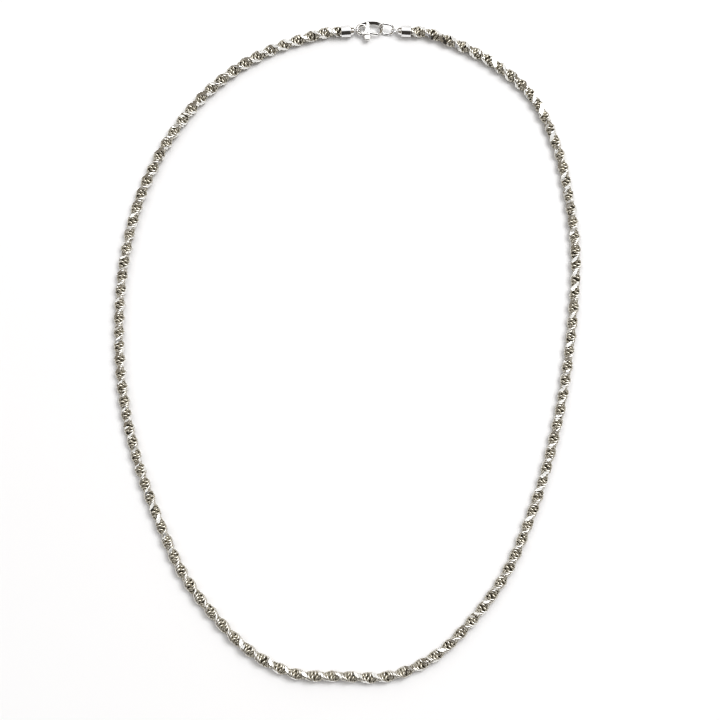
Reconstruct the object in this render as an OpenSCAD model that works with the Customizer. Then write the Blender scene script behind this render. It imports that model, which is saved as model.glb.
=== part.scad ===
// Rope chain necklace with two end caps, an oval jump ring and a lobster clasp, lying closed on a table.
// Millimetres, +Z up, +X to the right, +Y from the bottom of the loop towards the clasp.

/* [Loop] */
// Width of the loop, between the middles of the rope on its left and right
loop_width = 157; // [141:1:173]
// Length of the loop, from the clasp's line to the middle of the rope at the bottom
loop_length = 222.5; // [200:0.5:245]

/* [Rope] */
// Outside diameter of the twisted rope
rope_d = 4; // [3.2:0.1:4.4]
// Diameter of the bound rope end inside a cap
rope_end_d = 3.4; // [2.4:0.1:3.4]
// Length of rope held inside each cap
rope_seat = 2.4; // [1.6:0.1:2.8]
// Length of rope that runs straight out of each cap
straight_len = 4; // [2:0.5:6]
// Length over which the rope narrows to its bound end
shoulder_len = 0.15; // [0.1:0.05:0.5]

/* [End caps] */
// Outside diameter of the barrel
cap_d = 4.1; // [4.1:0.1:4.6]
// Length of the barrel
cap_len = 3.3; // [3:0.1:5]
// Diameter of the neck where it leaves the barrel
neck_base_d = 2.9; // [2:0.1:3.6]
// Diameter of the neck's outer end
neck_tip_d = 1.8; // [1.4:0.1:2]
// Length of the neck
neck_len = 1.2; // [1:0.1:1.4]
// Clear diameter of the loop on the neck
loop_bore = 2.2; // [2.1:0.05:2.4]
// Wire diameter of the loop
loop_wire = 0.6; // [0.5:0.05:0.65]
// Distance from the loop's wire to the barrel
loop_stand = 0.45; // [0.4:0.05:0.8]

/* [Jump ring] */
// Wire diameter of the ring
ring_wire = 0.8; // [0.6:0.05:0.8]
// Width of the ring between the middles of its two long sides
ring_width = 4; // [3.8:0.1:4.2]
// Length of the ring between the middles of its two ends
ring_length = 5.8; // [5.2:0.1:6]
// Lean of the ring out of the table's plane, in degrees
ring_lean = 50; // [46:1:52]

/* [Clasp] */
// Diameter of the eye's ring, wire middle to wire middle
eye_d = 3.2; // [3.1:0.05:3.4]
// Wire diameter of the eye
eye_wire = 1.1; // [0.9:0.05:1.1]
// Height of the body that holds the lever
body_h = 2.4; // [2.2:0.1:2.6]
// Height of the lever's root between the two cheeks
root_h = 1.04; // [0.8:0.02:1.2]
// Radius of the lever's root
root_r = 0.9; // [0.7:0.05:0.95]
// Diameter of the gate bar at its tip
gate_tip_d = 0.76; // [0.6:0.02:0.8]
// Diameter of the gate bar at its root
gate_root_d = 0.92; // [0.8:0.02:1]
// Diameter of the thumb knob
knob_d = 2.1; // [1.6:0.1:2.2]
// Diameter of the pivot pin
pin_d = 0.6; // [0.4:0.05:0.7]
// How far the pin stands out of each cheek
pin_proud = 0.06; // [0:0.02:0.2]

/* [Clearances] */
// Gap between the bound rope end and the cap's bore
seat_gap = 0.1; // [0.05:0.05:0.2]
// Gap between the rope's shoulder and the mouth of a cap
mouth_gap = 0.1; // [0.05:0.05:0.4]
// Gap between the lever and each cheek
cheek_gap = 0.1; // [0.05:0.01:0.15]
// Radial gap between the pin and the lever
pin_run_gap = 0.04; // [0.02:0.01:0.08]
// Radial gap between the pin and the cheeks
pin_seat_gap = 0.02; // [0.01:0.01:0.04]
// Pull of each link against the loop that holds it, from loop middle to wire middle
link_pull = 0.15; // [0.1:0.05:0.2]

/* [Hidden] */
$fn = 48;
silver = [0.78, 0.77, 0.74];

// Overlap where two forms of one solid run into each other
weld = 0.1;

// Middle line of the rope from the left cap round the bottom of the loop to the right cap:
// place across as a share of the loop's width, place below the clasp's line as a share of its length
route_shares = [
    [-0.099, 0.013], [-0.21, 0.045], [-0.312, 0.099], [-0.395, 0.173], [-0.455, 0.261], [-0.49, 0.362],
    [-0.5, 0.465], [-0.49, 0.569], [-0.459, 0.667], [-0.408, 0.766], [-0.35, 0.852], [-0.28, 0.915],
    [-0.207, 0.964], [-0.115, 0.996], [-0.019, 1], [0.089, 1], [0.185, 0.971], [0.264, 0.919],
    [0.338, 0.849], [0.395, 0.76], [0.44, 0.661], [0.471, 0.562], [0.49, 0.463], [0.5, 0.364],
    [0.487, 0.267], [0.459, 0.18], [0.408, 0.106], [0.325, 0.054], [0.223, 0.016]
];

// The clasp's line runs between the two caps. The clasp and its ring reach a little further up than the rope
// does at the bottom, so the line is that much lower than half the loop's length.
clasp_drop = 0.25;
clasp_y = loop_length / 2 - clasp_drop;
route = [for (share = route_shares) [share[0] * loop_width, clasp_y - share[1] * loop_length]];
left_turn = 4;
right_turn = 3;
axis_z = cap_d / 2;

// The eye's middle is the clasp's own origin. It hangs a little askew and lower than the caps.
eye_x = 4.7;
eye_shift = 0.45;
clasp_sag = 0.25;
eye_at = [eye_x, clasp_y + eye_shift];
clasp_z = axis_z - clasp_sag;

// Middle of the cap loops: the left one holds the eye, the right one holds the jump ring
eye_side = sqrt(pow(eye_d / 2, 2) - pow(eye_shift, 2));
left_loop = [eye_x - eye_side - link_pull, clasp_y];
hook_hold = [5.9, 0.55];
ring_left = eye_at + hook_hold;
ring_turn = -10.3;
ring_right = ring_left + ring_length * [cos(ring_turn), sin(ring_turn)];
right_loop = ring_right + [link_pull, 0];

loop_r = (loop_bore + loop_wire) / 2;
cap_face = loop_r + loop_wire / 2 + loop_stand;
cap_bore_d = rope_end_d + 2 * seat_gap;

// Hook: columns are place along the clasp, place across it, and radius
hook = [
    [0.1, 1.6, 0.55], [1.7, 2.05, 0.62], [3.5, 2.25, 0.62], [5.1, 2.15, 0.58], [6.5, 1.55, 0.52],
    [7.25, 0.55, 0.46], [7.2, -0.35, 0.44], [6.8, -1.1, 0.42], [6.3, -1.5, 0.4]
];
hook_sides = 14;
hook_steps = 4;

// Corners of the body between eye, hook and pivot, and its rounded heel beside the eye
body_edge = [[2.95, 0.4], [3.1, 1.9], [1.7, 2.1], [1.5, 0.6], [0.9, -1.1]];
heel = [0.3, -1.5];
heel_r = 0.45;

// The lever's places on the clasp, and the ball at the gate's tip, a little wider than the bar
pivot = [2, -1.2];
gate_tip = [5.45, -1.68];
knob = [1.95, -2.85];
tip_ball_d = gate_tip_d + 0.04;

// Room for the lever between the cheeks, with its corners from the pivot
slot_h = root_h + 2 * cheek_gap;
slot_edge = [[-0.75, 0], [-0.75, -2], [3, -2], [3, 1.4]];
slot_shoulder = 0.6;

// The cheeks end where the round knob is no higher than the lever's root
cheek_r = norm(knob - pivot) - sqrt(pow(knob_d / 2, 2) - pow(root_h / 2, 2));

rope_sides = 12;
rope_steps = 2;

// Point at share t of the curve from b to c, which passes on smoothly from a and to d
function smooth_point(a, b, c, d, t) =
    let (
        in_len = norm(b - a),
        len = norm(c - b),
        out_len = norm(d - c),
        slope_b = ((b - a) / in_len * len + (c - b) / len * in_len) * len / (in_len + len),
        slope_c = ((c - b) / len * out_len + (d - c) / out_len * len) * len / (len + out_len)
    )
    (2 * pow(t, 3) - 3 * t * t + 1) * b + (pow(t, 3) - 2 * t * t + t) * slope_b
    + (3 * t * t - 2 * pow(t, 3)) * c + (pow(t, 3) - t * t) * slope_c;

// Smooth line through all the points, with a number of steps from each to the next
function smooth_line(points, steps) =
    let (
        last = len(points) - 1,
        before = 2 * points[0] - points[1],
        after = 2 * points[last] - points[last - 1]
    )
    concat(
        [
            for (i = [0:last - 1], k = [0:steps - 1])
                smooth_point(i == 0 ? before : points[i - 1], points[i], points[i + 1],
                    i == last - 1 ? after : points[i + 2], k / steps)
        ],
        [points[last]]
    );

function unit(v) = v / norm(v);

// Direction of a line at its point i
function heading(line, i) = unit(line[min(i + 1, len(line) - 1)] - line[max(i - 1, 0)]);

// One ring of points round a level line, wide to the side and high along Z
function ring_points(middle, along, radius, sides) =
    let (side = unit([-along[1], along[0], 0]), up = cross(along, side))
    [
        for (k = [0:sides - 1])
            middle + radius * (cos(360 * k / sides) * side + sin(360 * k / sides) * up)
    ];

// Solid swept along a line, with a radius for each of its points
module swept(line, radii, sides) {
    rings = len(line);
    points = [for (i = [0:rings - 1]) each ring_points(line[i], heading(line, i), radii[i], sides)];
    walls = [
        for (i = [0:rings - 2], k = [0:sides - 1])
            let (a = i * sides + k, b = i * sides + (k + 1) % sides)
            each [[b + sides, b, a], [a + sides, b + sides, a]]
    ];
    ends = [
        [for (k = [0:sides - 1]) k],
        [for (k = [sides - 1:-1:0]) (rings - 1) * sides + k]
    ];
    polyhedron(points = points, faces = concat(walls, ends));
}

// Place on a cap's middle line, at a distance from its loop towards the rope
function on_cap(loop, side, turn, distance) =
    [loop[0] + side * distance * cos(turn), loop[1] - distance * sin(turn), axis_z];

// Rope from cap to cap: it steps down to its bound end just outside each cap, and leaves the cap straight
module rope_chain() {
    mouth = cap_face + cap_len;
    neck_end = mouth + mouth_gap;
    full_end = neck_end + shoulder_len;
    left_start = [for (d = [full_end, mouth + straight_len]) on_cap(left_loop, -1, left_turn, d)];
    right_start = [for (d = [mouth + straight_len, full_end]) on_cap(right_loop, 1, right_turn, d)];
    guides = concat([for (p = left_start) [p[0], p[1]]], route, [for (p = right_start) [p[0], p[1]]]);
    free_line = [for (p = smooth_line(guides, rope_steps)) [p[0], p[1], rope_d / 2]];
    left_end = [for (d = [mouth - rope_seat, neck_end]) on_cap(left_loop, -1, left_turn, d)];
    right_end = [for (d = [neck_end, mouth - rope_seat]) on_cap(right_loop, 1, right_turn, d)];
    end_radii = [rope_end_d / 2, rope_end_d / 2];
    color(silver)
        swept(
            concat(left_end, free_line, right_end),
            concat(end_radii, [for (p = free_line) rope_d / 2], end_radii),
            rope_sides
        );
}

// Cap with its loop at the origin and its barrel towards +X
module end_cap() {
    difference() {
        union() {
            translate([cap_face, 0, 0]) rotate([0, 90, 0]) cylinder(d = cap_d, h = cap_len);
            translate([cap_face - neck_len, 0, 0])
                rotate([0, 90, 0]) cylinder(d1 = neck_tip_d, d2 = neck_base_d, h = neck_len + weld);
            rotate([90, 0, 0]) rotate_extrude() translate([loop_r, 0]) circle(d = loop_wire);
        }
        translate([cap_face + cap_len - rope_seat - seat_gap, 0, 0])
            rotate([0, 90, 0]) cylinder(d = cap_bore_d, h = rope_seat + seat_gap + weld);
    }
}

module end_cap_left() {
    color(silver) translate([left_loop[0], left_loop[1], axis_z]) rotate([0, 0, 180 + left_turn]) end_cap();
}

module end_cap_right() {
    color(silver) translate([right_loop[0], right_loop[1], axis_z]) rotate([0, 0, -right_turn]) end_cap();
}

// Oval ring through the clasp's hook and the right cap's loop
module jump_ring() {
    middle = (ring_left + ring_right) / 2;
    straight = ring_length - ring_width;
    color(silver)
        translate([middle[0], middle[1], axis_z])
            rotate([0, 0, ring_turn])
                rotate([ring_lean, 0, 0]) {
                    for (side = [-1, 1]) {
                        translate([side * straight / 2, 0, 0])
                            rotate([0, 0, -side * 90])
                                rotate_extrude(angle = 180) translate([ring_width / 2, 0]) circle(d = ring_wire);
                        translate([-straight / 2, side * ring_width / 2, 0])
                            rotate([0, 90, 0]) cylinder(d = ring_wire, h = straight);
                    }
                }
}

// Outline of the body between eye, hook and pivot
module body_outline() {
    polygon(concat([heel - [0, heel_r], pivot - [weld, cheek_r], pivot + [cheek_r, 0]], body_edge));
    translate(pivot) circle(r = cheek_r);
    translate(heel) circle(r = heel_r);
}

// Room that the lever needs between the cheeks
module lever_slot() {
    translate([0, 0, -slot_h / 2])
        linear_extrude(slot_h) {
            translate(pivot) circle(r = root_r + cheek_gap);
            translate(pivot) polygon(concat(slot_edge, [[slot_shoulder, root_r]]));
        }
}

module clasp_body() {
    wire = smooth_line(hook, hook_steps);
    line = [for (w = wire) [w[0], w[1], 0]];
    radii = [for (w = wire) w[2]];
    color(silver)
        translate([eye_at[0], eye_at[1], clasp_z])
            difference() {
                union() {
                    rotate_extrude() translate([eye_d / 2, 0]) circle(d = eye_wire);
                    swept(line, radii, hook_sides);
                    translate([0, 0, -body_h / 2]) linear_extrude(body_h) body_outline();
                }
                lever_slot();
                translate([pivot[0], pivot[1], -body_h])
                    cylinder(d = pin_d + 2 * pin_seat_gap, h = 2 * body_h);
            }
}

module clasp_lever() {
    reach = gate_tip - pivot;
    knob_reach = knob - pivot;
    color(silver)
        translate([eye_at[0], eye_at[1], clasp_z])
            difference() {
                union() {
                    translate([pivot[0], pivot[1], -root_h / 2]) cylinder(r = root_r, h = root_h);
                    translate([pivot[0], pivot[1], 0])
                        rotate([0, 90, atan2(reach[1], reach[0])])
                            cylinder(d1 = gate_root_d, d2 = gate_tip_d, h = norm(reach));
                    translate([gate_tip[0], gate_tip[1], 0]) sphere(d = tip_ball_d);
                    translate([pivot[0], pivot[1], 0])
                        rotate([0, 90, atan2(knob_reach[1], knob_reach[0])])
                            cylinder(d = gate_root_d, h = norm(knob_reach));
                    translate([knob[0], knob[1], 0]) sphere(d = knob_d);
                }
                translate([pivot[0], pivot[1], -root_h]) cylinder(d = pin_d + 2 * pin_run_gap, h = 2 * root_h);
            }
}

module pivot_pin() {
    pin_len = body_h + 2 * pin_proud;
    color(silver)
        translate([eye_at[0] + pivot[0], eye_at[1] + pivot[1], clasp_z - pin_len / 2])
            cylinder(d = pin_d, h = pin_len);
}

rope_chain();
end_cap_left();
end_cap_right();
jump_ring();
clasp_body();
clasp_lever();
pivot_pin();
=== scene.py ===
import bisect
import itertools
import math
import random

import bpy
from mathutils import Matrix, Vector


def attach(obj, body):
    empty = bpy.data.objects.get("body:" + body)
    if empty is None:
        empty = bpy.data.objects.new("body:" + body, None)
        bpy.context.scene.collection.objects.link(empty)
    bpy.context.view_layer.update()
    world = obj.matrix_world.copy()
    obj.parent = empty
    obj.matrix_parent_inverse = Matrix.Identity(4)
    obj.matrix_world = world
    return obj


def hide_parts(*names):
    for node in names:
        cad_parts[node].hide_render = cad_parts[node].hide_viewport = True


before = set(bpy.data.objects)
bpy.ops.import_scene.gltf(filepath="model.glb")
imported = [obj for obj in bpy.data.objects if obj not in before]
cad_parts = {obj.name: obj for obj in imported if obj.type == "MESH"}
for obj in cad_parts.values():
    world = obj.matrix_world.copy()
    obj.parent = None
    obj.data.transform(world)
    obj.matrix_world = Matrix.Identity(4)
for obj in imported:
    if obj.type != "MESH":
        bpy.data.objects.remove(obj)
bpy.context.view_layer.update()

# Pieces are modelled in millimetres, and each finished mesh is brought down to metres.
millimetre = 0.001
up = Vector((0, 0, 1))
sameWay = 0.999          # directions that are at least this much alike count as one
samePlace = 0.001        # places that are no further apart than this count as one
edgeSteps = 4            # faces across a rounded edge

# The same places as in the part's source, in millimetres
layout = {
    "loopWidth": 157,
    "loopLength": 222.5,
    "claspDrop": 0.25,       # the clasp's line below half the loop's length
    "capAxis": 2.05,         # height of the caps' middle line
    "ropeAxis": 2.0,         # height of the rope's middle line on the table
    "leftTurn": 4,           # degrees that each cap droops towards the rope
    "rightTurn": 3,
    "eyeX": 4.7,
    "eyeShift": 0.45,        # the eye's middle beyond the clasp's line
    "claspSag": 0.25,        # the clasp's middle below the caps'
    "eyeRadius": 1.6,
    "linkPull": 0.15,        # from the wire that hangs in a cap's loop to the loop's middle
    "hookHold": (5.9, 0.55),    # where the ring hangs in the hook, from the eye's middle
    "ringLength": 5.8,
    "ringTurn": -10.3,
}
claspY = layout["loopLength"] / 2 - layout["claspDrop"]
eyeAt = Vector((layout["eyeX"], claspY + layout["eyeShift"], layout["capAxis"] - layout["claspSag"]))
eyeSide = math.sqrt(layout["eyeRadius"] ** 2 - layout["eyeShift"] ** 2)
leftLoop = Vector((layout["eyeX"] - eyeSide - layout["linkPull"], claspY, layout["capAxis"]))
ringTurn = math.radians(layout["ringTurn"])
holdX, holdY = layout["hookHold"]
ringLeft = Vector((eyeAt.x + holdX, eyeAt.y + holdY, layout["capAxis"]))
ringRight = ringLeft + layout["ringLength"] * Vector((math.cos(ringTurn), math.sin(ringTurn), 0))
rightLoop = ringRight + Vector((layout["linkPull"], 0, 0))


# Small helpers for Blender's own tools

def deselectAll():
    if bpy.context.object and bpy.context.object.mode != "OBJECT":
        bpy.ops.object.mode_set(mode="OBJECT")
    bpy.ops.object.select_all(action="DESELECT")


def pick(*pieces):
    deselectAll()
    for piece in pieces:
        piece.select_set(True)
    bpy.context.view_layer.objects.active = pieces[0]


def named(name):
    piece = bpy.context.object
    piece.name = name
    piece.data.name = name
    return piece


def editFaces(piece, wanted):
    # Opens edit mode with only the wanted faces selected
    pick(piece)
    mesh = piece.data
    for part in (mesh.vertices, mesh.edges):
        part.foreach_set("select", [False] * len(part))
    mesh.polygons.foreach_set("select", [bool(wanted(face)) for face in mesh.polygons])
    bpy.context.tool_settings.mesh_select_mode = (False, False, True)
    bpy.ops.object.mode_set(mode="EDIT")


def editAll(piece):
    pick(piece)
    bpy.ops.object.mode_set(mode="EDIT")
    bpy.ops.mesh.select_all(action="SELECT")


def endEdit():
    bpy.ops.object.mode_set(mode="OBJECT")


def useModifier(piece, kind, **settings):
    pick(piece)
    modifier = piece.modifiers.new(kind.title(), kind)
    for key, value in settings.items():
        setattr(modifier, key, value)
    bpy.ops.object.modifier_apply(modifier=modifier.name)


def joinAs(name, *pieces):
    pick(*pieces)
    bpy.ops.object.join()
    return named(name)


def cutAway(piece, cutter):
    useModifier(piece, "BOOLEAN", operation="DIFFERENCE", object=cutter, solver="EXACT")
    bpy.data.objects.remove(cutter)


def place(piece, at, turn=0):
    # Turns about the origin, moves, and leaves the object itself at the origin
    pick(piece)
    piece.rotation_euler = (0, 0, turn)
    piece.location = at
    bpy.ops.object.transform_apply(location=True, rotation=True, scale=True)


def facesOutward(piece):
    editAll(piece)
    bpy.ops.mesh.normals_make_consistent(inside=False)
    endEdit()


def smoothly(piece, angle):
    pick(piece)
    bpy.ops.object.shade_smooth_by_angle(angle=math.radians(angle))


def handOver(piece, body, nodes, material=None):
    # Brings a piece down to metres, gives it its finish and tells the frame what it stands for
    piece.data.transform(Matrix.Scale(millimetre, 4))
    if material:
        piece.data.materials.clear()
        piece.data.materials.append(material)
    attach(piece, body)
    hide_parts(*nodes)


# Materials

def startMaterial(name):
    material = bpy.data.materials.new(name)
    material.use_nodes = True
    tree = material.node_tree
    return material, tree.nodes, tree.links, tree.nodes["Principled BSDF"]


def addRamp(nodes, stops):
    # Colours at their positions, where a new stop's first position doesn't matter
    ramp = nodes.new("ShaderNodeValToRGB")
    while len(ramp.color_ramp.elements) < len(stops):
        ramp.color_ramp.elements.new(0.5)
    for element, (position, color) in zip(ramp.color_ramp.elements, stops):
        element.position = position
        element.color = (*color, 1)
    return ramp


def addNoise(nodes, links, coordinates, scale, detail):
    noise = nodes.new("ShaderNodeTexNoise")
    noise.inputs["Scale"].default_value = scale
    noise.inputs["Detail"].default_value = detail
    links.new(coordinates, noise.inputs["Vector"])
    return noise


def startSilver(name):
    # A metal's nodes, and the places on its piece that its patterns follow
    material, nodes, links, shader = startMaterial(name)
    shader.inputs["Metallic"].default_value = 1
    coordinates = nodes.new("ShaderNodeTexCoord").outputs["Object"]
    return material, nodes, links, shader, coordinates


def setColour(nodes, links, shader, value, stops, colours):
    colour = addRamp(nodes, list(zip(stops, colours)))
    links.new(value, colour.inputs["Fac"])
    links.new(colour.outputs["Color"], shader.inputs["Base Color"])


def setRoughness(nodes, links, shader, value, bounds):
    rough = nodes.new("ShaderNodeMapRange")
    rough.inputs["To Min"].default_value = bounds[0]
    rough.inputs["To Max"].default_value = bounds[1]
    links.new(value, rough.inputs["Value"])
    links.new(rough.outputs["Result"], shader.inputs["Roughness"])


def setBump(nodes, links, shader, height, strength, distance):
    bump = nodes.new("ShaderNodeBump")
    bump.inputs["Strength"].default_value = strength
    bump.inputs["Distance"].default_value = distance
    links.new(height, bump.inputs["Height"])
    links.new(bump.outputs["Normal"], shader.inputs["Normal"])


wireFinish = {
    # silver darkened deep between the links, partly tarnish and partly painted shade, then their
    # sides, then their crests
    "colours": ((0.44, 0.41, 0.34), (0.56, 0.53, 0.455), (0.70, 0.675, 0.62)),
    "stops": (0.66, 0.84, 1),    # parts of the way out from the rope's middle
    "roughness": (0.28, 0.45),
    "patchScale": 900,       # per metre
    "patchDetail": 2,
    "patchPull": 0.22,       # most that a patch adds to a place's part of the way out
    "grainScale": 9000,
    "grainDetail": 3,
    "grainStrength": 0.08,
    "grainHeight": 0.00002,
}


def makeWireSilver():
    # Round link wire: bright on the outside of the rope, browner and darker towards its core, with
    # tarnish and painted shade between the links
    material, nodes, links, shader, coordinates = startSilver("linkWireSilver")
    depth = nodes.new("ShaderNodeAttribute")
    depth.attribute_name = "outwardShare"
    patches = addNoise(nodes, links, coordinates, wireFinish["patchScale"], wireFinish["patchDetail"])
    wander = nodes.new("ShaderNodeMath")
    wander.operation = "MULTIPLY_ADD"
    wander.inputs[1].default_value = wireFinish["patchPull"]
    links.new(patches.outputs["Fac"], wander.inputs[0])
    links.new(depth.outputs["Fac"], wander.inputs[2])
    # colour by depth: tarnish and painted shade between the links, brighter crests outside
    setColour(nodes, links, shader, wander.outputs[0], wireFinish["stops"], wireFinish["colours"])
    setRoughness(nodes, links, shader, patches.outputs["Fac"], wireFinish["roughness"])
    grain = addNoise(nodes, links, coordinates, wireFinish["grainScale"], wireFinish["grainDetail"])
    setBump(
        nodes, links, shader, grain.outputs["Fac"],
        wireFinish["grainStrength"], wireFinish["grainHeight"]
    )
    return material


flatFinish = {
    "colours": ((0.73, 0.72, 0.685), (0.85, 0.845, 0.82)),
    "stops": (0.3, 0.7),
    "roughness": (0.04, 0.14),
    "toneScale": 900,        # per metre
    "toneDetail": 1,
    "lineScale": 5200,
    "lineWaver": 1.5,
    "lineStrength": 0.03,
    "lineHeight": 0.00001,
}


def makeFlatSilver():
    # Diamond-cut flats: mirror bright, with the cutter's faint lines
    material, nodes, links, shader, coordinates = startSilver("cutFlatSilver")
    tone = addNoise(nodes, links, coordinates, flatFinish["toneScale"], flatFinish["toneDetail"])
    setColour(nodes, links, shader, tone.outputs["Fac"], flatFinish["stops"], flatFinish["colours"])
    setRoughness(nodes, links, shader, tone.outputs["Fac"], flatFinish["roughness"])
    lines = nodes.new("ShaderNodeTexWave")
    lines.inputs["Scale"].default_value = flatFinish["lineScale"]
    lines.inputs["Distortion"].default_value = flatFinish["lineWaver"]
    links.new(coordinates, lines.inputs["Vector"])
    setBump(
        nodes, links, shader, lines.outputs["Fac"],
        flatFinish["lineStrength"], flatFinish["lineHeight"]
    )
    return material


polish = {
    "stops": (0.25, 0.7),
    "toneScale": 420,        # per metre
    "toneDetail": 3,
    "scratchScale": 900,
    "scratchDetail": 4,
    "scratchStretch": (1, 14, 5),
    "scratchTurn": (0.3, 0.2, 0.6),
    "scratchHeight": 0.00002,
}

capFinish = {
    "colours": ((0.76, 0.755, 0.74), (0.88, 0.875, 0.865)),
    "roughness": (0.06, 0.16),
    "scratches": 0.10,
}

claspFinish = {
    "colours": ((0.67, 0.655, 0.625), (0.81, 0.80, 0.775)),
    "roughness": (0.08, 0.2),
    "scratches": 0.14,
}


def makePolishedSilver(name, finish):
    # Polished cast or turned silver, with fine scratches and a little uneven tone
    material, nodes, links, shader, coordinates = startSilver(name)
    tone = addNoise(nodes, links, coordinates, polish["toneScale"], polish["toneDetail"])
    setColour(nodes, links, shader, tone.outputs["Fac"], polish["stops"], finish["colours"])
    setRoughness(nodes, links, shader, tone.outputs["Fac"], finish["roughness"])
    stretch = nodes.new("ShaderNodeMapping")
    stretch.inputs["Scale"].default_value = polish["scratchStretch"]
    stretch.inputs["Rotation"].default_value = polish["scratchTurn"]
    links.new(coordinates, stretch.inputs["Vector"])
    scratches = addNoise(
        nodes, links, stretch.outputs["Vector"], polish["scratchScale"], polish["scratchDetail"]
    )
    setBump(
        nodes, links, shader, scratches.outputs["Fac"],
        finish["scratches"], polish["scratchHeight"]
    )
    return material


wireSilver = makeWireSilver()
flatSilver = makeFlatSilver()
capSilver = makePolishedSilver("capSilver", capFinish)
claspSilver = makePolishedSilver("claspSilver", claspFinish)
print("materials made")


# The rope's middle line, the same as the source's

ropeRoute = {
    # places of the free rope, in parts of the loop's width and length
    "shares": [
        (-0.099, 0.013), (-0.21, 0.045), (-0.312, 0.099), (-0.395, 0.173), (-0.455, 0.261),
        (-0.49, 0.362), (-0.5, 0.465), (-0.49, 0.569), (-0.459, 0.667), (-0.408, 0.766),
        (-0.35, 0.852), (-0.28, 0.915), (-0.207, 0.964), (-0.115, 0.996), (-0.019, 1),
        (0.089, 1), (0.185, 0.971), (0.264, 0.919), (0.338, 0.849), (0.395, 0.76),
        (0.44, 0.661), (0.471, 0.562), (0.49, 0.463), (0.5, 0.364), (0.487, 0.267),
        (0.459, 0.18), (0.408, 0.106), (0.325, 0.054), (0.223, 0.016)
    ],
    "seatEnd": 3.05,         # this and the next two are distances from a cap's loop
    "shoulder": 5.7,
    "straightEnd": 9.45,
    "steps": 16,
}


def onCap(loop, side, turn, distance):
    # Place on a cap's middle line, or on past its mouth
    turn = math.radians(turn)
    x = loop.x + side * distance * math.cos(turn)
    y = loop.y - distance * math.sin(turn)
    return Vector((x, y, loop.z))


def smoothPoint(a, b, c, d, t):
    # Point at the share t of the way from b to c, on a smooth curve through all four
    inLength = (b - a).length
    length = (c - b).length
    outLength = (d - c).length
    slopeB = (b - a) / inLength * length + (c - b) / length * inLength
    slopeB = slopeB * length / (inLength + length)
    slopeC = (c - b) / length * outLength + (d - c) / outLength * length
    slopeC = slopeC * length / (length + outLength)
    return (
        (2 * t ** 3 - 3 * t * t + 1) * b + (t ** 3 - 2 * t * t + t) * slopeB
        + (3 * t * t - 2 * t ** 3) * c + (t ** 3 - t * t) * slopeC
    )


def smoothLine(points, steps):
    # A curve through all the points, in that many steps from each to the next
    row = [2 * points[0] - points[1], *points, 2 * points[-1] - points[-2]]
    line = [
        smoothPoint(*row[i:i + 4], k / steps)
        for i in range(len(points) - 1)
        for k in range(steps)
    ]
    return [*line, points[-1].copy()]


def ropeLine():
    low = Vector((0, 0, layout["capAxis"] - layout["ropeAxis"]))
    reach = (ropeRoute["shoulder"], ropeRoute["straightEnd"])
    left = [onCap(leftLoop, -1, layout["leftTurn"], d) - low for d in reach]
    right = [onCap(rightLoop, 1, layout["rightTurn"], d) - low for d in reversed(reach)]
    free = [
        Vector((x * layout["loopWidth"], claspY - y * layout["loopLength"], layout["ropeAxis"]))
        for x, y in ropeRoute["shares"]
    ]
    start = onCap(leftLoop, -1, layout["leftTurn"], ropeRoute["seatEnd"])
    end = onCap(rightLoop, 1, layout["rightTurn"], ropeRoute["seatEnd"])
    return [start, *smoothLine([*left, *free, *right], ropeRoute["steps"]), end]


routePoints = ropeLine()
routeMarks = [0.0]
for here, there in zip(routePoints, routePoints[1:]):
    routeMarks.append(routeMarks[-1] + (there - here).length)
ropeLength = routeMarks[-1]


def alongRoute(distance):
    # Point and direction at a distance from the rope's left end
    i = min(max(bisect.bisect_right(routeMarks, distance) - 1, 0), len(routePoints) - 2)
    here, there = routePoints[i], routePoints[i + 1]
    share = (distance - routeMarks[i]) / (routeMarks[i + 1] - routeMarks[i])
    before = routePoints[max(i - 1, 0)]
    after = routePoints[min(i + 2, len(routePoints) - 1)]
    heading = (there - before).normalized().lerp((after - here).normalized(), share)
    heading.z = 0
    return here.lerp(there, share), heading.normalized()


# The rope's links

rope = {
    "radius": 2.1,
    "ringRadius": 1.02,      # middle of the wire
    "wireRadius": 0.48,
    "widening": 1.2,         # a link is this much wider round the rope than out of it
    "lean": 36,              # degrees that a link leans round its way out of the rope
    "spacing": 1.12,         # from a link to the next one in its strand
    "endMargin": 0.6,        # from each end of the rope to its nearest link
    "endShare": 0.84,        # size of the links in the caps, as a part of the others'
    "endLength": 2.9,
    # distances of shallow to deep diamond-cut flats from the rope's middle
    "cutRadii": (1.97, 1.83, 1.68, 1.5),
    "cutSides": 4,
    "leastCut": 0.01,        # a flat that takes less than this off a link is left out
    "cutWeld": 0.0001,
    "turnSteps": 18,         # different cut links, by how they are turned to the flats
    "ringSteps": 14,
    "wireSteps": 6,
    "pieces": 8,
    "seed": 5,
    "jitter": 10,            # most degrees that a link is turned from its lean
    "shift": 0.16,           # most that a link sits off its place along the rope
    "sink": 0.07,            # most that a link sits nearer to the rope's middle
    # share of the rope's length, and millimetres from one bump to the next there
    "bumps": [
        (0, 5.2), (0.03, 5.0), (0.14, 4.95), (0.3, 4.75), (0.38, 5.5), (0.44, 6.0), (0.54, 6.1),
        (0.6, 5.4), (0.7, 5.1), (0.85, 4.9), (0.93, 4.7), (0.98, 5.5), (1, 5.6)
    ],
    # share of the rope's length, and degrees that the upper flat leans outwards there
    "rolls": [
        (0, 10), (0.1, 30), (0.25, 22), (0.36, 5), (0.44, -12), (0.5, -28), (0.58, -24),
        (0.66, -8), (0.78, -20), (0.87, -34), (0.93, 10), (0.97, 35), (1, 30)
    ],
    # share of the rope's length, and how deep its flats are there, by place in cutRadii
    "depths": [
        (0, 1.5), (0.1, 1.9), (0.3, 1.6), (0.4, 0.9), (0.6, 0.9), (0.78, 1.4), (0.86, 2.5),
        (0.96, 3), (1, 1)
    ],
    "depthChange": 1.3,      # most that one bump's depth differs from that
    "rollChange": 16,        # most degrees that one bump's flats are turned from theirs
}
ringOffset = rope["radius"] - rope["ringRadius"] - rope["wireRadius"]
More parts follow.
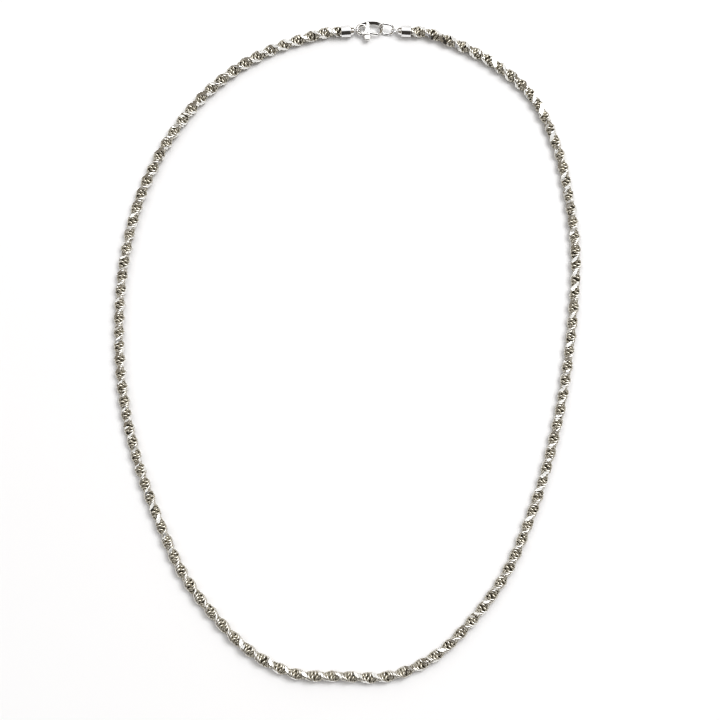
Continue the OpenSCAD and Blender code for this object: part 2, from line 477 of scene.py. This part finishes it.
# Turns a link's own axes to the directions outwards, round the rope and along it
linkTilt = Matrix.Rotation(math.radians(rope["lean"]), 3, "X")
sideAngle = 360 / rope["cutSides"]


def readTable(table, share):
    # The table's value at a share, with a soft change from one row to the next
    for (shareA, valueA), (shareB, valueB) in zip(table, table[1:]):
        if share <= shareB:
            part = (share - shareA) / (shareB - shareA)
            return valueA + (valueB - valueA) * part * part * (3 - 2 * part)
    return table[-1][1]


def makeCutLink(turn, cutRadius):
    # One link about its own middle, X away from the rope's middle, cut by the flats that reach it
    deselectAll()
    bpy.ops.mesh.primitive_torus_add(
        major_radius=rope["ringRadius"], minor_radius=rope["wireRadius"],
        major_segments=rope["ringSteps"], minor_segments=rope["wireSteps"],
    )
    link = named("cutLink")
    bpy.ops.object.shade_smooth()
    editAll(link)
    bpy.ops.transform.resize(value=(1, rope["widening"], 1), center_override=(0, 0, 0))
    endEdit()
    link.data.materials.append(wireSilver)
    link.data.materials.append(flatSilver)
    for side in range(rope["cutSides"]):
        angle = math.radians(side * sideAngle - turn)
        normal = linkTilt.transposed() @ Vector((math.cos(angle), math.sin(angle), 0))
        distance = cutRadius - ringOffset * math.cos(angle)
        reach = max(vertex.co.dot(normal) for vertex in link.data.vertices)
        if reach < distance + rope["leastCut"]:
            continue
        editAll(link)
        bpy.ops.mesh.bisect(
            plane_co=normal * distance, plane_no=normal, use_fill=True, clear_outer=True,
            threshold=rope["cutWeld"]
        )
        bpy.ops.mesh.mark_sharp()
        endEdit()
        for face in link.data.polygons:
            onPlane = abs(face.center.dot(normal) - distance) < samePlace
            if onPlane and face.normal.dot(normal) > sameWay:
                face.use_smooth = False
                face.material_index = 1
    facesOutward(link)
    # share of the way out from the rope's middle, which sets the wire's tarnish and painted shade
    outward = link.data.attributes.new("outwardShare", "FLOAT", "POINT")
    for vertex, value in zip(link.data.vertices, outward.data):
        outwards, across, _ = linkTilt @ vertex.co
        value.value = math.hypot(ringOffset + outwards, across) / rope["radius"]
    return link


def placeLinks():
    # The links belong by turns to the two strands, which are half a turn apart
    turns = [sideAngle * step / rope["turnSteps"] for step in range(rope["turnSteps"])]
    cutLinks = [[makeCutLink(turn, cutRadius) for turn in turns] for cutRadius in rope["cutRadii"]]
    print("cut links made:", len(cutLinks) * len(turns))
    chance = random.Random(rope["seed"])

    def vary(most):
        return chance.uniform(-1, 1) * most

    run = ropeLength - 2 * rope["endMargin"]
    count = 2 * round(run / rope["spacing"])
    groups = [[] for _ in range(rope["pieces"])]
    turn, bump, depth, rollShift = 0, -1, 0, 0
    for k in range(count):
        distance = rope["endMargin"] + run * k / (count - 1)
        share = distance / ropeLength
        fromEnd = min(distance, ropeLength - distance)
        size = 1 if fromEnd > rope["endLength"] else rope["endShare"]
        middle, heading = alongRoute(distance)
        across = heading.cross(up)
        # Each bump, which is half a turn, has its own depth and turn of the flats
        if int(turn / math.pi + 0.5) > bump:
            bump += 1
            depth = readTable(rope["depths"], share) + vary(rope["depthChange"])
            depth = min(max(round(depth), 0), len(cutLinks) - 1)
            rollShift = vary(rope["rollChange"])
        roll = readTable(rope["rolls"], share) + rollShift
        phase = turn + math.pi * (k % 2)
        radial = math.cos(phase) * up + math.sin(phase) * across
        tangent = math.cos(phase) * across - math.sin(phase) * up
        axes = Matrix((radial, tangent, heading)).transposed()
        wobble = Matrix.Rotation(math.radians(vary(rope["jitter"])), 3, "X")
        wobble @= Matrix.Rotation(math.radians(vary(rope["jitter"])), 3, "Y")
        offset = size * (ringOffset + chance.uniform(-rope["sink"], 0))
        shift = heading * chance.uniform(-1, 1) * rope["shift"]
        turned = (axes @ linkTilt @ wobble * size).to_4x4()
        matrix = Matrix.Translation(middle + radial * offset + shift) @ turned
        toFlats = (math.degrees(phase) - roll) % sideAngle
        kind = round(toFlats / sideAngle * rope["turnSteps"]) % rope["turnSteps"]
        link = cutLinks[depth][kind].copy()
        link.data = link.data.copy()
        link.data.transform(matrix)
        bpy.context.collection.objects.link(link)
        groups[min(int(share * rope["pieces"]), rope["pieces"] - 1)].append(link)
        turn += math.pi * run / (count - 1) / readTable(rope["bumps"], share)
    for link in itertools.chain(*cutLinks):
        bpy.data.objects.remove(link)
    for number, links in enumerate(groups, start=1):
        piece = joinAs(f"rope_links_{number}", *links)
        handOver(piece, "necklace", ["rope_chain"])
    print("rope links placed:", count)


placeLinks()


# End caps

cap = {
    "diameter": 4.1,
    "length": 3.3,
    "face": 2.15,            # from the loop's middle to the barrel
    "bore": 3.6,             # this, neckBase and neckTip are diameters
    "boreDepth": 2.5,
    "neckBase": 3.2,
    "neckTip": 2.4,
    "neckLength": 1.2,
    "loopRadius": 1.4,
    "loopWire": 0.3,         # radius
    "edge": 0.22,
    "edgeAngle": 40,         # degrees past which an edge is rounded
    "smooth": 35,            # degrees up to which the shading is smooth
    "steps": 48,
    "wireSteps": 16,
}


def makeCap(name, loop, turn):
    # The loop's middle is at the origin, and the barrel lies along X, until the cap is placed
    deselectAll()
    middle = cap["face"] + cap["length"] / 2
    bpy.ops.mesh.primitive_cylinder_add(
        vertices=cap["steps"], radius=cap["diameter"] / 2, depth=cap["length"],
        end_fill_type="NGON", location=(middle, 0, 0), rotation=(0, math.pi / 2, 0)
    )
    barrel = named(name)
    bpy.ops.object.transform_apply(location=True, rotation=True, scale=True)
    # The mouth: an inset at the rope's end, pushed in to make the bore
    editFaces(barrel, lambda face: face.normal.x > sameWay)
    bpy.ops.mesh.inset(thickness=(cap["diameter"] - cap["bore"]) / 2)
    bpy.ops.mesh.extrude_region_move(TRANSFORM_OT_translate={"value": (-cap["boreDepth"], 0, 0)})
    endEdit()
    # The neck: an inset at the other end, drawn out and narrowed
    nearEnd = cap["face"] + samePlace
    editFaces(barrel, lambda face: face.normal.x < -sameWay and face.center.x < nearEnd)
    bpy.ops.mesh.inset(thickness=(cap["diameter"] - cap["neckBase"]) / 2)
    bpy.ops.mesh.extrude_region_move(TRANSFORM_OT_translate={"value": (-cap["neckLength"], 0, 0)})
    shrink = cap["neckTip"] / cap["neckBase"]
    bpy.ops.transform.resize(value=(1, shrink, shrink), center_override=(cap["face"], 0, 0))
    endEdit()
    useModifier(
        barrel, "BEVEL", width=cap["edge"], segments=edgeSteps, limit_method="ANGLE",
        angle_limit=math.radians(cap["edgeAngle"])
    )
    deselectAll()
    bpy.ops.mesh.primitive_torus_add(
        major_radius=cap["loopRadius"], minor_radius=cap["loopWire"], major_segments=cap["steps"],
        minor_segments=cap["wireSteps"], rotation=(math.pi / 2, 0, 0)
    )
    loopRing = named("loopRing")
    bpy.ops.object.transform_apply(location=True, rotation=True, scale=True)
    useModifier(barrel, "BOOLEAN", operation="UNION", object=loopRing, solver="EXACT")
    bpy.data.objects.remove(loopRing)
    facesOutward(barrel)
    smoothly(barrel, cap["smooth"])
    place(barrel, loop, turn)
    return barrel


leftCap = makeCap("cap_left", leftLoop, math.radians(180 + layout["leftTurn"]))
handOver(leftCap, "necklace", ["end_cap_left"], capSilver)
rightCap = makeCap("cap_right", rightLoop, math.radians(-layout["rightTurn"]))
handOver(rightCap, "necklace", ["end_cap_right"], capSilver)
print("end caps made")


# Jump ring

ring = {
    "wire": 0.4,             # radius
    "width": 4.0,            # between the middles of its long sides
    "lean": 50,              # degrees
    "smooth": 40,
    "steps": 64,
    "wireSteps": 20,
}


def makeRing():
    deselectAll()
    bpy.ops.mesh.primitive_torus_add(
        major_radius=ring["width"] / 2, minor_radius=ring["wire"],
        major_segments=ring["steps"], minor_segments=ring["wireSteps"]
    )
    piece = named("oval_ring")
    # Each half moves outwards, which leaves two straight sides
    stretch = (layout["ringLength"] - ring["width"]) / 2
    for side in (-1, 1):
        editFaces(piece, lambda face: face.center.x * side > 0)
        bpy.ops.transform.translate(value=(side * stretch / 2, 0, 0))
        endEdit()
    editAll(piece)
    bpy.ops.transform.rotate(
        value=-math.radians(ring["lean"]), orient_axis="X", center_override=(0, 0, 0)
    )
    endEdit()
    smoothly(piece, ring["smooth"])
    place(piece, (ringLeft + ringRight) / 2, ringTurn)
    return piece


ovalRing = makeRing()
handOver(ovalRing, "necklace", ["jump_ring"], capSilver)
print("jump ring made")


# Clasp, in its own place with the eye's middle at the origin

clasp = {
    "eyeWire": 0.55,         # radius
    "eyeSteps": 64,
    "eyeWireSteps": 24,
    # place along, place across and half the width of the hook
    "hook": [
        (0.1, 1.6, 0.55), (1.7, 2.05, 0.6), (3.5, 2.28, 0.58), (5.1, 2.15, 0.58), (6.5, 1.56, 0.56),
        (7.12, 0.55, 0.56), (7.08, -0.35, 0.52), (6.7, -1.1, 0.46), (6.3, -1.5, 0.4)
    ],
    # section of the hook: across towards its inner side, and up, in half widths
    "section": [(-1, -1), (-1, 1), (-0.75, 1.2), (1, 0.4), (1, -0.4), (-0.75, -1.2)],
    "hookSteps": 6,
    "bodyHeight": 2.4,
    "pivot": (2, -1.2),
    "cheekRadius": 0.74,
    "heel": (0.3, -1.5),
    "heelRadius": 0.45,
    "webEdge": [
        (0.3, -1.95), (1.9, -1.94), (2.74, -1.2), (2.6, 0.4), (2.6, 1.9), (1.7, 2.1), (1.5, 0.6),
        (0.9, -1.1)
    ],
    "skin": 0.08,            # size of the cast skin's squares
    "skinRounds": 5,         # how often the skin is smoothed
    "skinFactor": 0.5,       # and how much each time
    "slotHeight": 1.24,
    "slotRadius": 1.0,
    "slotEdge": [(1.25, -1.2), (1.25, -3.2), (5, -3.2), (5, 0.2), (2.6, -0.3)],
    "pinBore": 0.32,
    "smooth": 40,            # degrees up to which the shading is smooth
    "discSteps": 48,
    "ballRings": 24,
    "wireResolution": 4,
}


def addDisc(name, middle, radius, height):
    deselectAll()
    bpy.ops.mesh.primitive_cylinder_add(
        vertices=clasp["discSteps"], radius=radius, depth=height, location=(*middle, 0)
    )
    piece = named(name)
    bpy.ops.object.transform_apply(location=True, rotation=True, scale=True)
    return piece


def addSlab(name, corners, height):
    # A flat face with its corners moved to their places, drawn up to its height
    deselectAll()
    bpy.ops.mesh.primitive_circle_add(vertices=len(corners), fill_type="NGON")
    piece = named(name)
    for vertex, (x, y) in zip(piece.data.vertices, corners):
        vertex.co = (x, y, -height / 2)
    editAll(piece)
    bpy.ops.mesh.extrude_region_move(TRANSFORM_OT_translate={"value": (0, 0, height)})
    endEdit()
    facesOutward(piece)
    return piece


def addBentWire(name, stations, steps, section=None):
    # A round wire, or one of the given section, through the stations, thick as each one says
    places = smoothLine([Vector((x, y, 0)) for x, y, radius in stations], steps)
    widths = smoothLine([Vector((i, radius, 0)) for i, (x, y, radius) in enumerate(stations)], steps)
    deselectAll()
    bpy.ops.curve.primitive_nurbs_path_add()
    piece = named(name)
    piece.data.splines.clear()
    spline = piece.data.splines.new("POLY")
    spline.points.add(len(places) - 1)
    for point, at, width in zip(spline.points, places, widths):
        point.co = (*at, 1)
        point.radius = width.y
    piece.data.twist_mode = "Z_UP"
    piece.data.use_fill_caps = True
    if section:
        profile = addProfile(section)
        piece.data.bevel_mode = "OBJECT"
        piece.data.bevel_object = profile
    else:
        piece.data.bevel_depth = 1
        piece.data.bevel_resolution = clasp["wireResolution"]
    pick(piece)
    bpy.ops.object.convert(target="MESH")
    if section:
        bpy.data.objects.remove(profile)
    return named(name)


def addProfile(section):
    # The closed outline that a bent wire's section follows
    deselectAll()
    bpy.ops.curve.primitive_nurbs_path_add()
    profile = named("section")
    profile.data.dimensions = "2D"
    profile.data.fill_mode = "NONE"
    profile.data.splines.clear()
    spline = profile.data.splines.new("POLY")
    spline.points.add(len(section) - 1)
    for point, (across, high) in zip(spline.points, section):
        point.co = (across, high, 0, 1)
    spline.use_cyclic_u = True
    return profile


def castSkin(piece, size, rounds):
    # One continuous skin over overlapping forms, with soft inner corners as on a casting
    pick(piece)
    piece.data.remesh_voxel_size = size
    piece.data.use_remesh_fix_poles = False
    bpy.ops.object.voxel_remesh()
    useModifier(piece, "SMOOTH", factor=clasp["skinFactor"], iterations=rounds)


def makeClaspBody():
    deselectAll()
    bpy.ops.mesh.primitive_torus_add(
        major_radius=layout["eyeRadius"], minor_radius=clasp["eyeWire"],
        major_segments=clasp["eyeSteps"], minor_segments=clasp["eyeWireSteps"]
    )
    eye = named("eye")
    hook = addBentWire("hook", clasp["hook"], clasp["hookSteps"], clasp["section"])
    nose = clasp["hook"][-1]
    deselectAll()
    bpy.ops.mesh.primitive_uv_sphere_add(radius=nose[2], location=(nose[0], nose[1], 0))
    tip = named("noseTip")
    cheeks = addDisc("cheeks", clasp["pivot"], clasp["cheekRadius"], clasp["bodyHeight"])
    heel = addDisc("heel", clasp["heel"], clasp["heelRadius"], clasp["bodyHeight"])
    web = addSlab("web", clasp["webEdge"], clasp["bodyHeight"])
    body = joinAs("lobster_body", eye, hook, tip, cheeks, heel, web)
    bpy.ops.object.transform_apply(location=True, rotation=True, scale=True)
    castSkin(body, clasp["skin"], clasp["skinRounds"])
    slot = addSlab("slot", clasp["slotEdge"], clasp["slotHeight"])
    cutAway(body, slot)
    cutAway(body, addDisc("slotRound", clasp["pivot"], clasp["slotRadius"], clasp["slotHeight"]))
    cutAway(body, addDisc("pinBore", clasp["pivot"], clasp["pinBore"], 2 * clasp["bodyHeight"]))
    smoothly(body, clasp["smooth"])
    place(body, eyeAt)
    return body


claspBody = makeClaspBody()
handOver(claspBody, "necklace", ["clasp_body"], claspSilver)
print("clasp body made")


# Lever

lever = {
    "rootRadius": 0.9,
    "rootHeight": 1.04,
    # place along, place across and half the width
    "bar": [(2, -1.2, 0.46), (3.7, -1.44, 0.42), (5.45, -1.68, 0.38)],
    "barSteps": 4,
    "tipExtra": 0.02,        # the bar's round tip is this much larger than the bar
    "thumb": [(2, -1.2, 0.46), (1.97, -2.1, 0.46), (1.95, -2.85, 0.46)],
    "thumbSteps": 2,
    "knobRadius": 1.14,
    "knobHeight": 1.5,
    "knobEdge": 0.26,
    "bore": 0.34,
    "skin": 0.055,
    "skinRounds": 3,
    "smooth": 40,
}


def addBall(name, middle, radius):
    deselectAll()
    bpy.ops.mesh.primitive_uv_sphere_add(
        segments=clasp["discSteps"], ring_count=clasp["ballRings"], radius=radius,
        location=(*middle, 0)
    )
    piece = named(name)
    bpy.ops.object.transform_apply(location=True, rotation=True, scale=True)
    return piece


def makeLever():
    root = addDisc("root", clasp["pivot"], lever["rootRadius"], lever["rootHeight"])
    bar = addBentWire("bar", lever["bar"], lever["barSteps"])
    thumb = addBentWire("thumb", lever["thumb"], lever["thumbSteps"])
    barEnd = lever["bar"][-1]
    barTip = addBall("barTip", barEnd[:2], barEnd[2] + lever["tipExtra"])
    knob = addDisc("knob", lever["thumb"][-1][:2], lever["knobRadius"], lever["knobHeight"])
    useModifier(knob, "BEVEL", width=lever["knobEdge"], segments=edgeSteps, limit_method="ANGLE")
    piece = joinAs("lobster_lever", root, bar, thumb, barTip, knob)
    castSkin(piece, lever["skin"], lever["skinRounds"])
    cutAway(piece, addDisc("leverBore", clasp["pivot"], lever["bore"], 2 * lever["rootHeight"]))
    smoothly(piece, lever["smooth"])
    place(piece, eyeAt)
    return piece


claspLever = makeLever()
handOver(claspLever, "lever", ["clasp_lever"], claspSilver)


# Pin

pin = {
    "radius": 0.3,
    "length": 2.52,
    "edge": 0.07,
    "smooth": 50,
}


def makePin():
    piece = addDisc("clasp_pin", clasp["pivot"], pin["radius"], pin["length"])
    useModifier(piece, "BEVEL", width=pin["edge"], segments=edgeSteps, limit_method="ANGLE")
    smoothly(piece, pin["smooth"])
    place(piece, eyeAt)
    return piece


claspPin = makePin()
handOver(claspPin, "necklace", ["pivot_pin"], claspSilver)
print("lever and pin made")


# Table, light and camera

studio = {
    "tableSize": 8,
    "tableRoughness": 0.7,
    "tableColour": (0.92, 0.92, 0.925),
    "tableGain": 1.02,       # the table's palest parts are this many times as bright
    "toneScale": 3,          # per metre
    "toneDetail": 1,
    "skyBright": (1.07, 1.07, 1.08),
    "skyFar": (1.58, 1.58, 1.59),
    "skyDark": (0.044, 0.04, 0.036),
    "beltBrown": (0.26, 0.23, 0.19),
    "beltPale": (0.48, 0.48, 0.515),
    "backdrop": (0.86, 0.86, 0.865),    # what the camera sees past the table's edge
    # from and to of each soft edge in the sky, as parts of a direction's X, Y or Z
    "farSide": (0.05, 0.40),
    "farTop": (0.45, 0.75),
    "darkFront": (0.02, -0.36),
    "darkWidth": (0.52, 0.26),
    "brownTop": (0.74, 0.58),
    "brownSides": (0.20, 0.46),
    "paleFront": (-0.15, -0.40),
    "paleTop": (0.14, 0.05),
    "keyPlace": (0.72, 0.68, 1.58),
    "keySize": 0.83,
    "keyPower": 17.5,
}


def makeTable():
    deselectAll()
    bpy.ops.mesh.primitive_plane_add(size=studio["tableSize"], location=(0, 0, 0))
    table = named("table")
    material, nodes, links, shader = startMaterial("paleTable")
    shader.inputs["Roughness"].default_value = studio["tableRoughness"]
    coordinates = nodes.new("ShaderNodeTexCoord").outputs["Object"]
    tone = addNoise(nodes, links, coordinates, studio["toneScale"], studio["toneDetail"])
    pale = studio["tableColour"]
    palest = tuple(value * studio["tableGain"] for value in pale)
    setColour(nodes, links, shader, tone.outputs["Fac"], (0, 1), (pale, palest))
    table.data.materials.append(material)


def addMath(nodes, links, operation, *values):
    node = nodes.new("ShaderNodeMath")
    node.operation = operation
    for value, socket in zip(values, node.inputs):
        links.new(value, socket)
    return node.outputs[0]


def addShare(nodes, links, value, bounds):
    # 0 at the first bound, 1 at the second, soft between
    share = nodes.new("ShaderNodeMapRange")
    share.interpolation_type = "SMOOTHSTEP"
    share.inputs["From Min"].default_value = bounds[0]
    share.inputs["From Max"].default_value = bounds[1]
    links.new(value, share.inputs["Value"])
    return share.outputs["Result"]


def addBlend(nodes, links, share, colour, other):
    blend = nodes.new("ShaderNodeMix")
    blend.data_type = "RGBA"
    blend.inputs["B"].default_value = (*other, 1)
    links.new(share, blend.inputs["Factor"])
    links.new(colour, blend.inputs["A"])
    return blend.outputs["Result"]


def makeSky():
    # Bright overhead and at the far side, dark towards the viewer, brown low at both sides and
    # pale low in front. The camera itself sees a plain backdrop.
    world = bpy.data.worlds.new("studioSky")
    bpy.context.scene.world = world
    world.use_nodes = True
    nodes, links = world.node_tree.nodes, world.node_tree.links
    direction = nodes.new("ShaderNodeSeparateXYZ")
    links.new(nodes.new("ShaderNodeTexCoord").outputs["Generated"], direction.inputs[0])
    sideways = addMath(nodes, links, "ABSOLUTE", direction.outputs["X"])
    bright = nodes.new("ShaderNodeRGB")
    bright.outputs[0].default_value = (*studio["skyBright"], 1)
    sky = bright.outputs[0]
    for colour, *edges in (
        ("skyFar", ("farSide", direction.outputs["Y"]), ("farTop", direction.outputs["Z"])),
        ("beltBrown", ("brownTop", direction.outputs["Z"]), ("brownSides", sideways)),
        ("skyDark", ("darkFront", direction.outputs["Y"]), ("darkWidth", sideways)),
        ("beltPale", ("paleFront", direction.outputs["Y"]), ("paleTop", direction.outputs["Z"])),
    ):
        shares = [addShare(nodes, links, value, studio[edge]) for edge, value in edges]
        sky = addBlend(nodes, links, addMath(nodes, links, "MULTIPLY", *shares), sky, studio[colour])
    seen = nodes.new("ShaderNodeLightPath").outputs["Is Camera Ray"]
    sky = addBlend(nodes, links, seen, sky, studio["backdrop"])
    links.new(sky, nodes["Background"].inputs["Color"])


def makeKeyLight():
    deselectAll()
    bpy.ops.object.light_add(type="AREA", location=studio["keyPlace"])
    light = named("softKey")
    light.data.size = studio["keySize"]
    light.data.energy = studio["keyPower"]
    light.rotation_euler = Vector(studio["keyPlace"]).to_track_quat("Z", "Y").to_euler()


view = {
    "target": (0.0041, -0.00475, 0.002),
    "distance": 0.582,
    "elevation": 84,
    "lens": 85,
    "nearest": 0.01,
    "filterWidth": 1.0,      # pixels
}


def makeCamera():
    deselectAll()
    slope = math.radians(view["elevation"])
    back = Vector((0, -math.cos(slope), math.sin(slope)))
    bpy.ops.object.camera_add(
        location=Vector(view["target"]) + view["distance"] * back, rotation=(math.pi / 2 - slope, 0, 0)
    )
    camera = named("camera")
    camera.data.lens = view["lens"]
    camera.data.clip_start = view["nearest"]
    bpy.context.scene.camera = camera


makeTable()
makeSky()
makeKeyLight()
makeCamera()
bpy.context.scene.view_settings.view_transform = "Standard"
bpy.context.scene.cycles.use_denoising = True
bpy.context.scene.cycles.filter_width = view["filterWidth"]
print("table, light and camera made")
